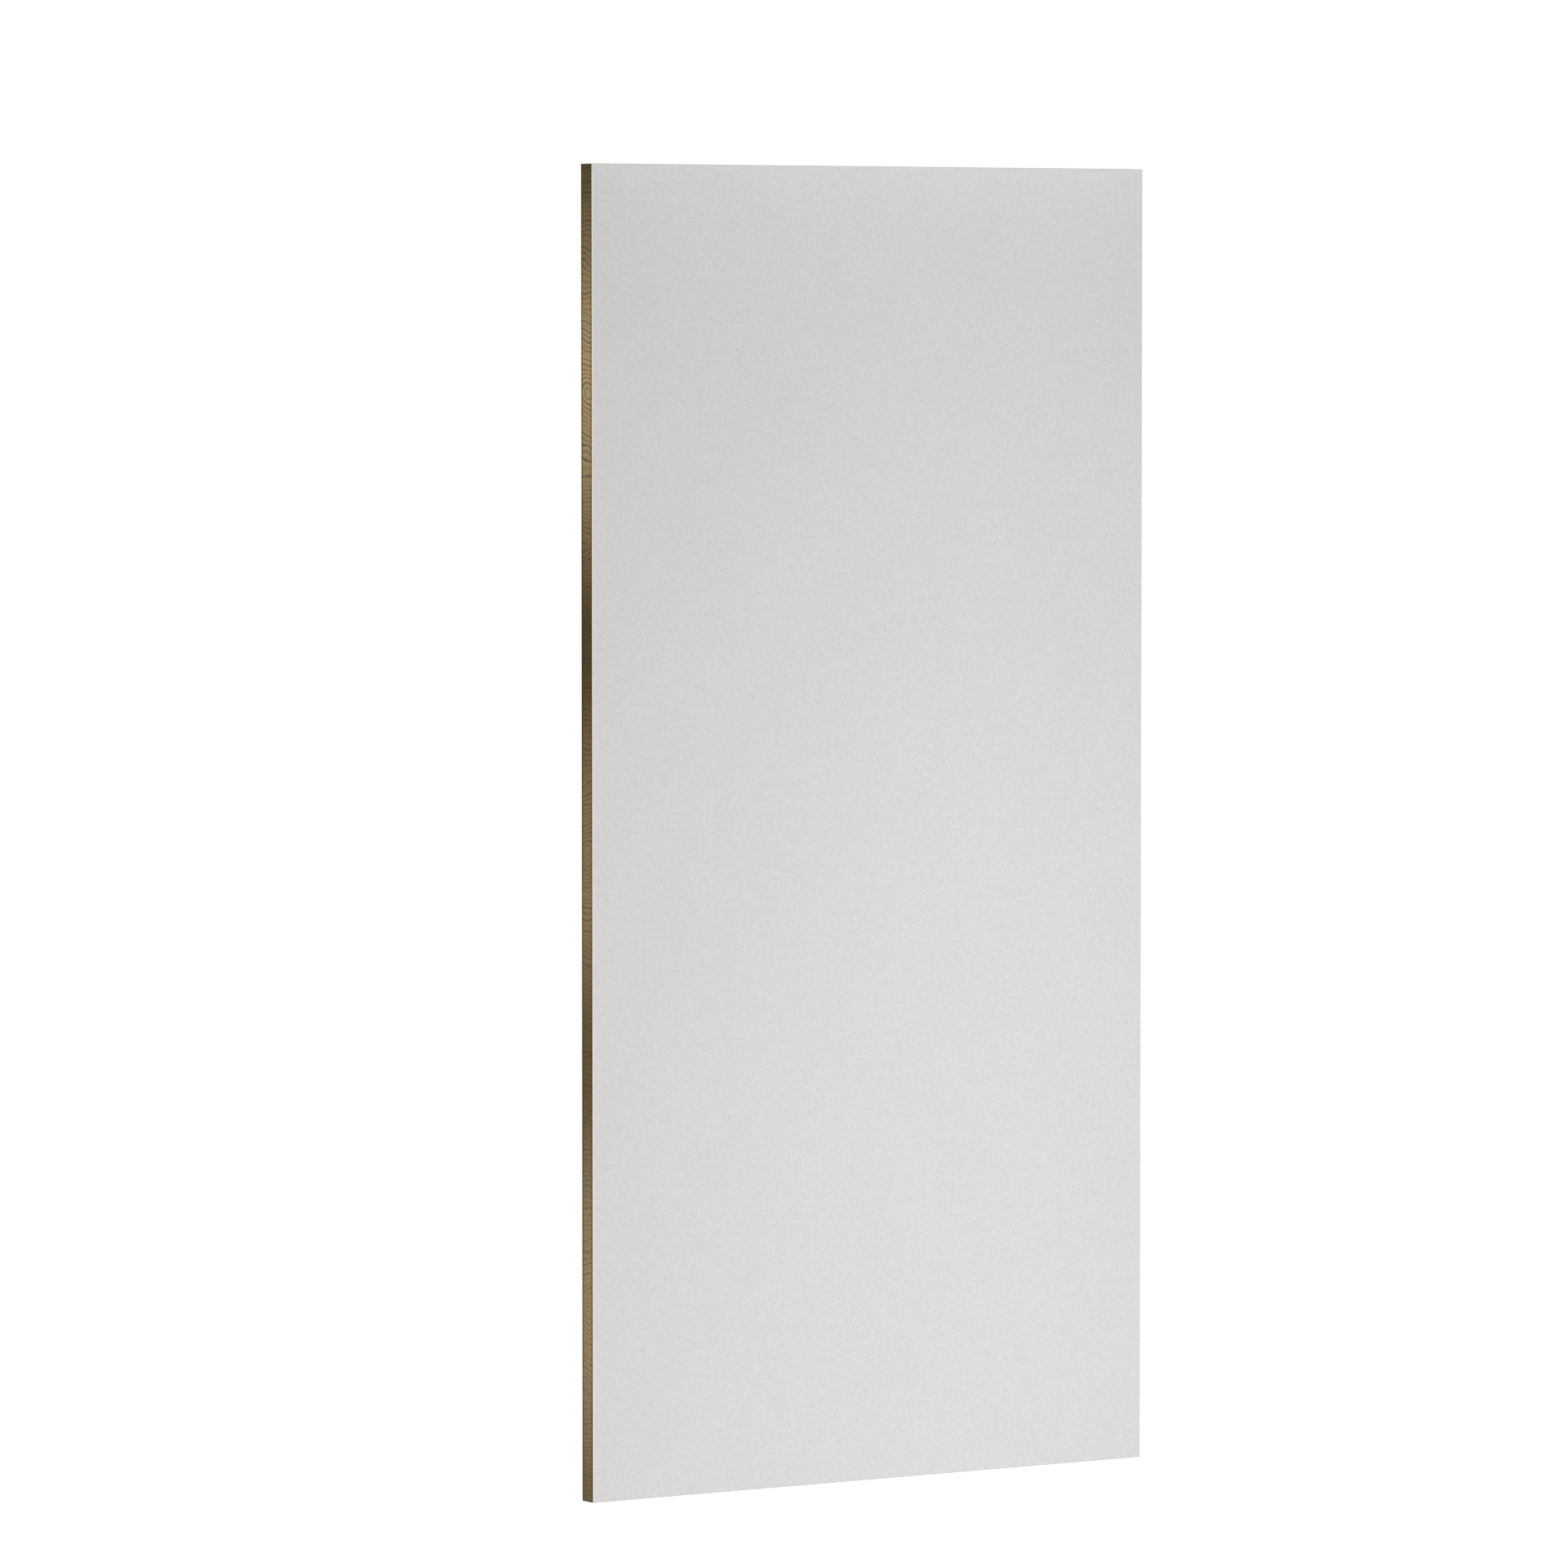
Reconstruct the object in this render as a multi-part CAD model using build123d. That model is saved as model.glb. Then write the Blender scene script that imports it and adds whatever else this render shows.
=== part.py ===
# Full-size laminate-faced board, 4 ft by 8 ft: a timber core board with a decorative
# laminate bonded to its face and a thinner balancing laminate bonded to its back.
# It lies flat, face up. Origin: middle of the back at floor level. X runs across the
# width, Y along the length and Z up through the thickness. All sizes in millimetres.

import os
from math import radians, tan

from build123d import *

# Driving dimensions: the face is 4 ft by 8 ft
BOARD_WIDTH = 1219.2
BOARD_LENGTH = 2438.4
CORE_THICKNESS = 35.0
FACE_LAMINATE_THICKNESS = 1.0
BACK_LAMINATE_THICKNESS = 0.6

# The laminates are glued on oversize and run flush with a bearing trimmer. Its bevel
# leans the trimmed edge back from upright, all but a narrow land left at the glue line.
TRIM_LEAN_ANGLE = 45.0
TRIM_LAND = 0.2

# Where each layer starts, counted up from the floor
CORE_UNDERSIDE = BACK_LAMINATE_THICKNESS
CORE_TOP = CORE_UNDERSIDE + CORE_THICKNESS


def flat_sheet(underside, thickness):
    """A flat layer of the board's full plan, sawn square, from the given height up."""
    plan = Plane.XY.offset(underside) * Rectangle(BOARD_WIDTH, BOARD_LENGTH)
    return extrude(plan, thickness)


def trimmed(outer_face, thickness):
    """The laminate that the face belongs to, with the trimmer's bevel all round that face."""
    depth = thickness - TRIM_LAND
    setback = depth * tan(radians(TRIM_LEAN_ANGLE))
    return chamfer(outer_face.edges(), length=setback, length2=depth, reference=outer_face)


def make_core_board():
    return flat_sheet(CORE_UNDERSIDE, CORE_THICKNESS)


def make_face_laminate():
    sheet = flat_sheet(CORE_TOP, FACE_LAMINATE_THICKNESS)
    outer_face = sheet.faces().sort_by(Axis.Z)[-1]
    return trimmed(outer_face, FACE_LAMINATE_THICKNESS)


def make_back_laminate():
    sheet = flat_sheet(0, BACK_LAMINATE_THICKNESS)
    outer_face = sheet.faces().sort_by(Axis.Z)[0]
    return trimmed(outer_face, BACK_LAMINATE_THICKNESS)


pieces = {
    "core_board": make_core_board(),
    "face_laminate": make_face_laminate(),
    "back_laminate": make_back_laminate(),
}

os.makedirs("parts", exist_ok=True)
for name, piece in pieces.items():
    piece.label = name
    export_step(piece, f"parts/{name}.step")
    print(name, round(piece.volume), "mm3", piece.bounding_box().size)
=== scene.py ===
# A full-size laminate-faced board, 4 ft by 8 ft, lying face up on a white studio floor.
# Metres throughout, in the board's own frame: X across the width, Y along the length,
# Z up through the thickness, with the middle of the back at the origin. The camera
# looks down on the face from beside the long edge at -X.

import math

import bpy
from mathutils import Matrix, Vector


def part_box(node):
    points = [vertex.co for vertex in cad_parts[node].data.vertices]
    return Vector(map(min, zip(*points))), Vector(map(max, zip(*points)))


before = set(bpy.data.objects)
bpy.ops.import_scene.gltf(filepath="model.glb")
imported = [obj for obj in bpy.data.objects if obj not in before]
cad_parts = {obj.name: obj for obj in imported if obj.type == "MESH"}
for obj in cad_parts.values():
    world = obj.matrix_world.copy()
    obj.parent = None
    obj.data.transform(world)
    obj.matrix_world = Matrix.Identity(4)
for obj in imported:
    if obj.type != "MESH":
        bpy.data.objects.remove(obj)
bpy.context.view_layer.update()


# Timber core
# One thick slab of bare brown timber, sawn to size and lightly sanded, its fibres across
# the board's width. The long edges show end grain: growth rings that loop round a pith
# here and there, fainter towards the near end. The two ends show them as long grain.

# The rings are circles round a row of piths, bent by a slow and a quick wander
PITH_SPACING = 0.84
PITH_PLACE = -0.035
PITH_HEIGHT = 0.021
RING_SPACING = 0.0092
SLOW_WANDER = 0.075
QUICK_WANDER = 0.0145

# Where in its ring, from 0 to 1, the dark latewood comes in and goes out
LATEWOOD_IN = (0.45, 0.90)
LATEWOOD_OUT = (0.92, 1.0)
FAINTEST_RING = 0.30

# Paleness goes from 0 for heartwood to 1 for sapwood
HEARTWOOD = (0.072, 0.050, 0.016)
SAPWOOD = (0.445, 0.334, 0.178)
MEAN_PALENESS = 0.40
PALER_AT_PITHS = 0.27
PALER_AT_OTHER_PITHS = 0.20
OTHER_PITHS_LAG = 0.35
PALENESS_DRIFT = 0.25
FAR_HEARTWOOD_FROM = 1.02
FAR_HEARTWOOD_DEPTH = 0.11

# Rings and bands stand out more by this share for each metre towards the far end
FAR_CONTRAST = 0.25

UNTINTED = (1.0, 1.0, 1.0)
RED_TINT = (1.07, 0.985, 0.90)
REDDER_OVER = (0.40, 0.65)

# The share of light that each mark leaves, or its darkest and palest share
LATEWOOD_SHADE = 0.36
PORE_SHADE = 0.60
FIBRE_SHADES = (0.71, 1.31)
STREAK_SHADES = (0.80, 1.20)
BESIDE_BACK_SHADE = 0.25
BESIDE_FACE_SHADE = 0.42

PORES_OVER = (0.60, 0.72)
FIBRE_RELIEF = 0.5
PORE_RELIEF = -0.6
# How far the darker wood beside both laminates reaches, and how softly it fades
DARKENING_WIDTH = 0.0036
DARKENING_FADE = (0.4, 1.6)
EARLYWOOD_ROUGHNESS = 0.72
LATEWOOD_ROUGHNESS = 0.60

# Marks a metre along X, Y and Z: few along the fibres and many across them
SLOW_WANDER_MARKS = (1.3, 7.0, 9.0)
QUICK_WANDER_MARKS = (4.0, 21.0, 29.0)
DRIFT_MARKS = (0.5, 3.0, 3.0)
REDNESS_MARKS = (3.0, 22.0, 40.0)
STREAK_MARKS = (2.5, 170.0, 170.0)
FIBRE_MARKS = (14.0, 900.0, 900.0)
PORE_MARKS = (22.0, 1500.0, 1500.0)
DARKENING_EDGE_MARKS = (60.0, 60.0, 0.0)

core_low, core_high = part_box("core_board")


def add_node(tree, kind, inputs=None, **settings):
    """A new node with its settings, and each input set to a value or joined to an output."""
    node = tree.nodes.new(kind)
    for name, value in settings.items():
        setattr(node, name, value)
    for name, value in (inputs or {}).items():
        if isinstance(value, bpy.types.NodeSocket):
            tree.links.new(value, node.inputs[name])
        else:
            node.inputs[name].default_value = value
    return node


def calculate(tree, operation, *values):
    """The result of one Math node."""
    node = add_node(tree, "ShaderNodeMath", dict(enumerate(values)), operation=operation)
    return node.outputs[0]


def product(tree, first, *others):
    """All the values multiplied together."""
    result = first
    for value in others:
        result = calculate(tree, "MULTIPLY", result, value)
    return result


def scaled(tree, value, factor, start):
    """The value times a factor, counted up from a start."""
    return calculate(tree, "MULTIPLY_ADD", value, factor, start)


def from_to(tree, pattern, start, end):
    """A value that goes from start to end while the pattern goes from 0 to 1."""
    return scaled(tree, pattern, end - start, start)


def blend_between(tree, low, high, value, smooth=True):
    """0 where the value is under low, 1 where it is over high, and a ramp in between."""
    ramp = add_node(
        tree,
        "ShaderNodeMapRange",
        {"Value": value, "From Min": low, "From Max": high},
        interpolation_type="SMOOTHSTEP" if smooth else "LINEAR",
        clamp=True,
    )
    return ramp.outputs["Result"]


def noise(tree, coordinates, marks_per_metre, detail=2.0, roughness=0.5):
    """A pattern from 0 to 1, about 0.5 on average, with its own marks a metre on each axis."""
    stretched = add_node(
        tree,
        "ShaderNodeVectorMath",
        {0: coordinates, 1: marks_per_metre},
        operation="MULTIPLY",
    )
    inputs = {
        "Vector": stretched.outputs[0],
        "Scale": 1.0,
        "Detail": detail,
        "Roughness": roughness,
    }
    return add_node(tree, "ShaderNodeTexNoise", inputs).outputs["Fac"]


def mix_colour(tree, amount, low, high, how="MIX"):
    """Two colours mixed by an amount."""
    node = add_node(tree, "ShaderNodeMix", data_type="RGBA", blend_type=how)
    sockets = (node.inputs[0], node.inputs[6], node.inputs[7])
    for socket, value in zip(sockets, (amount, low, high)):
        if isinstance(value, bpy.types.NodeSocket):
            tree.links.new(value, socket)
        elif isinstance(value, tuple):
            socket.default_value = (*value, 1.0)
        else:
            socket.default_value = value
    return node.outputs[2]


def shaded(tree, colour, shade):
    """The colour with all three of its channels times the shade."""
    grey = add_node(
        tree, "ShaderNodeCombineColor", {"Red": shade, "Green": shade, "Blue": shade}
    )
    return mix_colour(tree, 1.0, colour, grey.outputs[0], how="MULTIPLY")


def new_material(name):
    """An empty material with its Principled surface joined to the output."""
    material = bpy.data.materials.new(name)
    material.use_nodes = True
    tree = material.node_tree
    tree.nodes.clear()
    surface = add_node(tree, "ShaderNodeBsdfPrincipled")
    add_node(tree, "ShaderNodeOutputMaterial", {"Surface": surface.outputs[0]})
    coordinates = add_node(tree, "ShaderNodeTexCoord").outputs["Object"]
    return material, tree, surface, coordinates


def add_relief(tree, surface, height, strength, distance):
    """Raises the surface by a pattern of heights."""
    bump = add_node(
        tree, "ShaderNodeBump", {"Height": height, "Strength": strength, "Distance": distance}
    )
    tree.links.new(bump.outputs[0], surface.inputs["Normal"])


def dress(node_name, material):
    """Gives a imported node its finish."""
    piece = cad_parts[node_name]
    for material_slot in piece.material_slots:
        material_slot.material = material
    if not piece.material_slots:
        piece.data.materials.append(material)


def latewood_lines(tree, coordinates, from_pith, up):
    """The dark latewood that ends each ring, each ring with its own boldness."""
    slow = noise(tree, coordinates, SLOW_WANDER_MARKS)
    quick = noise(tree, coordinates, QUICK_WANDER_MARKS)
    beside_pith = calculate(tree, "PINGPONG", from_pith, PITH_SPACING / 2)
    above_pith = calculate(tree, "SUBTRACT", up, PITH_HEIGHT)
    squares = calculate(
        tree,
        "ADD",
        product(tree, beside_pith, beside_pith),
        product(tree, above_pith, above_pith),
    )
    radius = calculate(tree, "SQRT", squares)
    radius = scaled(tree, slow, SLOW_WANDER, radius)
    radius = scaled(tree, quick, QUICK_WANDER, radius)
    rings = calculate(tree, "DIVIDE", radius, RING_SPACING)
    in_ring = calculate(tree, "FRACT", rings)
    latewood = calculate(
        tree,
        "SUBTRACT",
        blend_between(tree, *LATEWOOD_IN, in_ring),
        blend_between(tree, *LATEWOOD_OUT, in_ring),
    )
    boldness = add_node(
        tree,
        "ShaderNodeTexWhiteNoise",
        {"W": calculate(tree, "FLOOR", rings)},
        noise_dimensions="1D",
    ).outputs["Value"]
    return product(tree, latewood, from_to(tree, boldness, FAINTEST_RING, 1.0))


def wood_colour(tree, coordinates, from_pith, along, contrast):
    """Broad bands of heartwood with paler wood round the piths, every other pith paler
    still, and here and there a redder streak. The far end is heartwood."""
    turn = product(tree, from_pith, math.tau / PITH_SPACING)
    half_turn = scaled(tree, turn, 0.5, -OTHER_PITHS_LAG)
    paleness = product(tree, calculate(tree, "COSINE", turn), PALER_AT_PITHS)
    paleness = scaled(
        tree, calculate(tree, "COSINE", half_turn), -PALER_AT_OTHER_PITHS, paleness
    )
    paleness = scaled(tree, paleness, contrast, MEAN_PALENESS)
    drift = noise(tree, coordinates, DRIFT_MARKS, detail=3.0)
    drift = from_to(tree, drift, -PALENESS_DRIFT, PALENESS_DRIFT)
    paleness = calculate(tree, "ADD", paleness, drift)
    far_heartwood = blend_between(tree, FAR_HEARTWOOD_FROM, core_high.y, along)
    paleness = scaled(tree, far_heartwood, -FAR_HEARTWOOD_DEPTH, paleness)
    paleness = blend_between(tree, 0.0, 1.0, paleness, smooth=False)
    colour = mix_colour(tree, paleness, HEARTWOOD, SAPWOOD)
    redness = noise(tree, coordinates, REDNESS_MARKS, detail=1.0)
    redness = blend_between(tree, *REDDER_OVER, redness)
    tint = mix_colour(tree, redness, UNTINTED, RED_TINT)
    return mix_colour(tree, 1.0, colour, tint, how="MULTIPLY")


def darker_beside_laminates(tree, coordinates, up):
    """Darker wood beside both laminates, with a soft ragged edge."""
    raggedness = noise(tree, coordinates, DARKENING_EDGE_MARKS, detail=4.0, roughness=0.65)
    reach = product(tree, calculate(tree, "ADD", raggedness, 0.5), DARKENING_WIDTH)
    from_back = calculate(tree, "SUBTRACT", up, core_low.z)
    from_face = calculate(tree, "SUBTRACT", core_high.z, up)
    back_reaches = calculate(tree, "DIVIDE", from_back, reach)
    face_reaches = calculate(tree, "DIVIDE", from_face, reach)
    clear_of_back = blend_between(tree, *DARKENING_FADE, back_reaches)
    clear_of_face = blend_between(tree, *DARKENING_FADE, face_reaches)
    return product(
        tree,
        from_to(tree, clear_of_back, BESIDE_BACK_SHADE, 1.0),
        from_to(tree, clear_of_face, BESIDE_FACE_SHADE, 1.0),
    )


def timber_material():
    """Bare timber. Its streaks, fibres and pores are dots on the end grain and long dashes
    on the long grain."""
    material, tree, surface, coordinates = new_material("bare_timber")
    place = add_node(tree, "ShaderNodeSeparateXYZ", {0: coordinates})
    along = place.outputs["Y"]
    up = place.outputs["Z"]
    from_pith = calculate(tree, "SUBTRACT", along, PITH_PLACE)
    contrast = scaled(tree, along, FAR_CONTRAST, 1.0)
    latewood = latewood_lines(tree, coordinates, from_pith, up)
    latewood = product(tree, latewood, contrast)
    streaks = noise(tree, coordinates, STREAK_MARKS)
    fibres = noise(tree, coordinates, FIBRE_MARKS, detail=3.0, roughness=0.6)
    pores = noise(tree, coordinates, PORE_MARKS, detail=1.0)
    pores = blend_between(tree, *PORES_OVER, pores)
    shade = product(
        tree,
        from_to(tree, latewood, 1.0, LATEWOOD_SHADE),
        from_to(tree, fibres, *FIBRE_SHADES),
        from_to(tree, pores, 1.0, PORE_SHADE),
        from_to(tree, streaks, *STREAK_SHADES),
        darker_beside_laminates(tree, coordinates, up),
    )
    colour = wood_colour(tree, coordinates, from_pith, along, contrast)
    tree.links.new(shaded(tree, colour, shade), surface.inputs["Base Color"])
    roughness = from_to(tree, latewood, EARLYWOOD_ROUGHNESS, LATEWOOD_ROUGHNESS)
    tree.links.new(roughness, surface.inputs["Roughness"])
    surface.inputs["Specular IOR Level"].default_value = 0.1
    height = scaled(tree, pores, PORE_RELIEF, product(tree, fibres, FIBRE_RELIEF))
    add_relief(tree, surface, height, strength=0.35, distance=0.0004)
    return material


dress("core_board", timber_material())


# Balancing laminate
# A thin undecorated sheet bonded to the back, so that the board doesn't bow towards its
# face. Brown kraft paper pressed in phenolic resin and sanded, its edge trimmed back.

KRAFT_BROWN = (0.140, 0.085, 0.045)
SANDING_MARKS = (900.0, 12.0, 900.0)
BACK_CLOUDS = (9.0, 5.0, 9.0)


def around_one(tree, pattern, depth):
    """A factor that moves about 1 with the pattern, by up to half the depth each way."""
    return scaled(tree, calculate(tree, "SUBTRACT", pattern, 0.5), depth, 1.0)


def make_uneven_tone():
    """The uneven tone of pressed paper: fine marks over broad soft clouds, on one colour."""
    group = bpy.data.node_groups.new("uneven_tone", "ShaderNodeTree")
    for name, kind in (
        ("Coordinates", "NodeSocketVector"),
        ("Colour", "NodeSocketColor"),
        ("Marks Per Metre", "NodeSocketVector"),
        ("Mark Depth", "NodeSocketFloat"),
        ("Clouds Per Metre", "NodeSocketVector"),
        ("Cloud Depth", "NodeSocketFloat"),
    ):
        group.interface.new_socket(name, in_out="INPUT", socket_type=kind)
    group.interface.new_socket("Colour", in_out="OUTPUT", socket_type="NodeSocketColor")
    group.interface.new_socket("Marks", in_out="OUTPUT", socket_type="NodeSocketFloat")

    given = add_node(group, "NodeGroupInput").outputs
    marks = noise(group, given["Coordinates"], given["Marks Per Metre"])
    clouds = noise(group, given["Coordinates"], given["Clouds Per Metre"])
    shade = product(
        group,
        around_one(group, marks, given["Mark Depth"]),
        around_one(group, clouds, given["Cloud Depth"]),
    )
    colour = shaded(group, given["Colour"], shade)
    add_node(group, "NodeGroupOutput", {"Colour": colour, "Marks": marks})
    return group


uneven_tone = make_uneven_tone()


def toned(tree, coordinates, colour, marks, mark_depth, clouds, cloud_depth):
    """The uneven tone placed in a material: its colour and its fine marks."""
    node = tree.nodes.new("ShaderNodeGroup")
    node.node_tree = uneven_tone
    tree.links.new(coordinates, node.inputs["Coordinates"])
    node.inputs["Colour"].default_value = (*colour, 1.0)
    node.inputs["Marks Per Metre"].default_value = marks
    node.inputs["Mark Depth"].default_value = mark_depth
    node.inputs["Clouds Per Metre"].default_value = clouds
    node.inputs["Cloud Depth"].default_value = cloud_depth
    return node.outputs["Colour"], node.outputs["Marks"]


def backing_material():
    """Bare kraft laminate with fine sanding scratches along the board."""
    material, tree, surface, coordinates = new_material("brown_backing")
    colour, scratches = toned(
        tree,
        coordinates,
        KRAFT_BROWN,
        marks=SANDING_MARKS,
        mark_depth=0.35,
        clouds=BACK_CLOUDS,
        cloud_depth=0.4,
    )
    tree.links.new(colour, surface.inputs["Base Color"])
    surface.inputs["Roughness"].default_value = 0.62
    add_relief(tree, surface, scratches, strength=0.3, distance=0.0002)
    return material


dress("back_laminate", backing_material())


# Decorative laminate
# A plain pale grey decor paper with a matt suede surface, pressed on a brown kraft core and
# bonded to the board's face. The trimmed bevel shows the brown core under the cream body
# of the decor paper, partly painted highlight, and a cream strip along the left edge is
# painted highlight.

FACE_GREY = (0.666, 0.665, 0.658)
# Partly the cream body of the decor paper and partly painted highlight, on the bevel and on a
# strip along the left edge
DECOR_CREAM_AND_HIGHLIGHT = (0.90, 0.82, 0.69)
DECOR_THICKNESS = 0.00038
SKIN_THICKNESS = 0.00003
# Width of the painted highlight strip along the left edge, and how uneven it is
HIGHLIGHT_STRIP_WIDTH = 0.0025
HIGHLIGHT_STRIP_UNEVENNESS = 0.8
SMOOTHEST_SUEDE = 0.54
ROUGHEST_SUEDE = 0.62

# Marks a metre, the same on all three axes
MOTTLE_MARKS = (155.0,) * 3
FACE_CLOUDS = (6.0,) * 3
HIGHLIGHT_STRIP_MARKS = (45.0,) * 3
PEBBLE_MARKS = (1600.0,) * 3

laminate_low, laminate_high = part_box("face_laminate")


def bared_layers_and_highlight(tree, coordinates):
    """Masks for the cream bevel with a painted highlight strip at the left, and the kraft."""
    place = add_node(tree, "ShaderNodeSeparateXYZ", {0: coordinates})
    below_top = calculate(tree, "SUBTRACT", laminate_high.z, place.outputs["Z"])
    trimmed = calculate(tree, "GREATER_THAN", below_top, SKIN_THICKNESS)
    kraft = calculate(tree, "GREATER_THAN", below_top, DECOR_THICKNESS)
    # A painted highlight: a cream strip of uneven width along the left edge
    from_left = calculate(tree, "SUBTRACT", place.outputs["X"], laminate_low.x)
    unevenness = noise(tree, coordinates, HIGHLIGHT_STRIP_MARKS)
    unevenness = around_one(tree, unevenness, HIGHLIGHT_STRIP_UNEVENNESS)
    painted_highlight = calculate(tree, "LESS_THAN", from_left, product(tree, unevenness, HIGHLIGHT_STRIP_WIDTH))
    cream_and_highlight = calculate(tree, "MAXIMUM", trimmed, painted_highlight)
    return cream_and_highlight, kraft


def face_material():
    """Grey suede laminate with a fine mottle, its layers bared at the edge and a painted
    highlight.
    """
    material, tree, surface, coordinates = new_material("suede_grey_laminate")
    colour, mottle = toned(
        tree,
        coordinates,
        FACE_GREY,
        marks=MOTTLE_MARKS,
        mark_depth=0.22,
        clouds=FACE_CLOUDS,
        cloud_depth=0.03,
    )
    cream_and_highlight, kraft = bared_layers_and_highlight(tree, coordinates)
    # The cream bevel, partly painted highlight, and the painted highlight strip at the left
    # edge
    colour = mix_colour(tree, cream_and_highlight, colour, DECOR_CREAM_AND_HIGHLIGHT)
    colour = mix_colour(tree, kraft, colour, KRAFT_BROWN)
    tree.links.new(colour, surface.inputs["Base Color"])
    roughness = from_to(tree, mottle, SMOOTHEST_SUEDE, ROUGHEST_SUEDE)
    tree.links.new(roughness, surface.inputs["Roughness"])
    pebbles = noise(tree, coordinates, PEBBLE_MARKS, detail=1.0)
    add_relief(tree, surface, pebbles, strength=0.25, distance=0.0001)
    return material


dress("face_laminate", face_material())


# Studio floor
# A seamless white floor under the board. It shows white, and the board's own soft shadow
# falls on it.

FLOOR_HALF_SIZE = 120.0
FLOOR_DROP = 0.0002
FLOOR_GREY = (0.40, 0.40, 0.40, 1.0)
FLOOR_GLOW = 0.80


def seen_directly(tree):
    """1 for rays that show the background: straight, mirrored or through glass."""
    path = add_node(tree, "ShaderNodeLightPath")
    shown = calculate(
        tree, "MAXIMUM", path.outputs["Is Camera Ray"], path.outputs["Is Glossy Ray"]
    )
    return calculate(tree, "MAXIMUM", shown, path.outputs["Is Transmission Ray"])


def floor_material():
    """Matt grey to the object's light, lifted to white where it is seen."""
    material = bpy.data.materials.new("white_floor")
    material.use_nodes = True
    tree = material.node_tree
    tree.nodes.clear()
    matt = add_node(tree, "ShaderNodeBsdfDiffuse", {"Color": FLOOR_GREY})
    strength = product(tree, seen_directly(tree), FLOOR_GLOW)
    glow = add_node(tree, "ShaderNodeEmission", {"Strength": strength})
    both = add_node(tree, "ShaderNodeAddShader", {0: matt.outputs[0], 1: glow.outputs[0]})
    add_node(tree, "ShaderNodeOutputMaterial", {"Surface": both.outputs[0]})
    return material


def make_floor():
    side = FLOOR_HALF_SIZE
    corners = [(-side, -side), (side, -side), (side, side), (-side, side)]
    mesh = bpy.data.meshes.new("studio_floor")
    mesh.from_pydata([(x, y, -FLOOR_DROP) for x, y in corners], [], [(0, 1, 2, 3)])
    mesh.materials.append(floor_material())
    floor = bpy.data.objects.new("studio_floor", mesh)
    bpy.context.scene.collection.objects.link(floor)


make_floor()


# Studio light
# A pale room all round, a large softbox beyond the near end and a strip above the board,
# so that the face grows darker towards the far left. A long low softbox lights the left
# edge and its bevel, and a small strip lifts the far end.

WHITE = (1.0, 1.0, 1.0, 1.0)
ROOM_LIGHT = 0.58


def make_room():
    world = bpy.data.worlds.new("white_room")
    bpy.context.scene.world = world
    world.use_nodes = True
    tree = world.node_tree
    tree.nodes.clear()
    strength = from_to(tree, seen_directly(tree), ROOM_LIGHT, 1.0)
    background = add_node(tree, "ShaderNodeBackground", {"Color": WHITE, "Strength": strength})
    add_node(tree, "ShaderNodeOutputWorld", {"Surface": background.outputs[0]})


def softbox(name, place, aim, width, height, brightness):
    """A rectangular lamp that the camera doesn't see. Brightness is its own, at its face."""
    lamp = bpy.data.lights.new(name, "AREA")
    lamp.shape = "RECTANGLE"
    lamp.size = width
    lamp.size_y = height
    lamp.energy = brightness * width * height * math.pi
    stand = bpy.data.objects.new(name, lamp)
    stand.location = place
    stand.rotation_mode = "QUATERNION"
    stand.rotation_quaternion = (Vector(aim) - Vector(place)).to_track_quat("-Z", "Y")
    stand.visible_camera = False
    bpy.context.scene.collection.objects.link(stand)


make_room()
softbox(
    "near_end_softbox",
    place=(0.33, -2.55, 2.50),
    aim=(0.0, 0.0, 0.0),
    width=2.0,
    height=2.0,
    brightness=2.45,
)
softbox(
    "overhead_strip",
    place=(0.40, 0.0, 1.51),
    aim=(0.40, 0.0, 0.0),
    width=0.5,
    height=2.6,
    brightness=2.0,
)
softbox(
    "left_edge_softbox",
    place=(-3.0, 0.0, 0.38),
    aim=(-0.61, 0.0, 0.04),
    width=3.0,
    height=0.5,
    brightness=6.8,
)
softbox(
    "far_end_strip",
    place=(0.10, 1.42, 0.14),
    aim=(0.1, 1.1, 0.0),
    width=1.4,
    height=0.10,
    brightness=1.15,
)


# Camera
# A very long lens. Its place is told from its own side: the board is turned about its
# length, tipped a little and set off from the camera, and the camera makes the opposite
# move while the board stays where it is.

LENS = 206.13
FARTHEST_SEEN = 400.0
BOARD_TURN = math.radians(32.848)
BOARD_TIP = math.radians(3.006)
FACE_FROM_CAMERA = (0.16364, -0.07686, -16.64763)


def make_camera():
    camera = bpy.data.cameras.new("camera")
    camera.lens = LENS
    camera.clip_end = FARTHEST_SEEN
    holder = bpy.data.objects.new("camera", camera)
    bpy.context.scene.collection.objects.link(holder)
    board_in_view = (
        Matrix.Translation(FACE_FROM_CAMERA)
        @ Matrix.Rotation(BOARD_TIP, 4, "X")
        @ Matrix.Rotation(BOARD_TURN, 4, "Y")
        @ Matrix.Translation((0.0, 0.0, -laminate_high.z))
    )
    holder.matrix_world = board_in_view.inverted()
    bpy.context.scene.camera = holder


make_camera()
bpy.context.scene.view_settings.view_transform = "Standard"
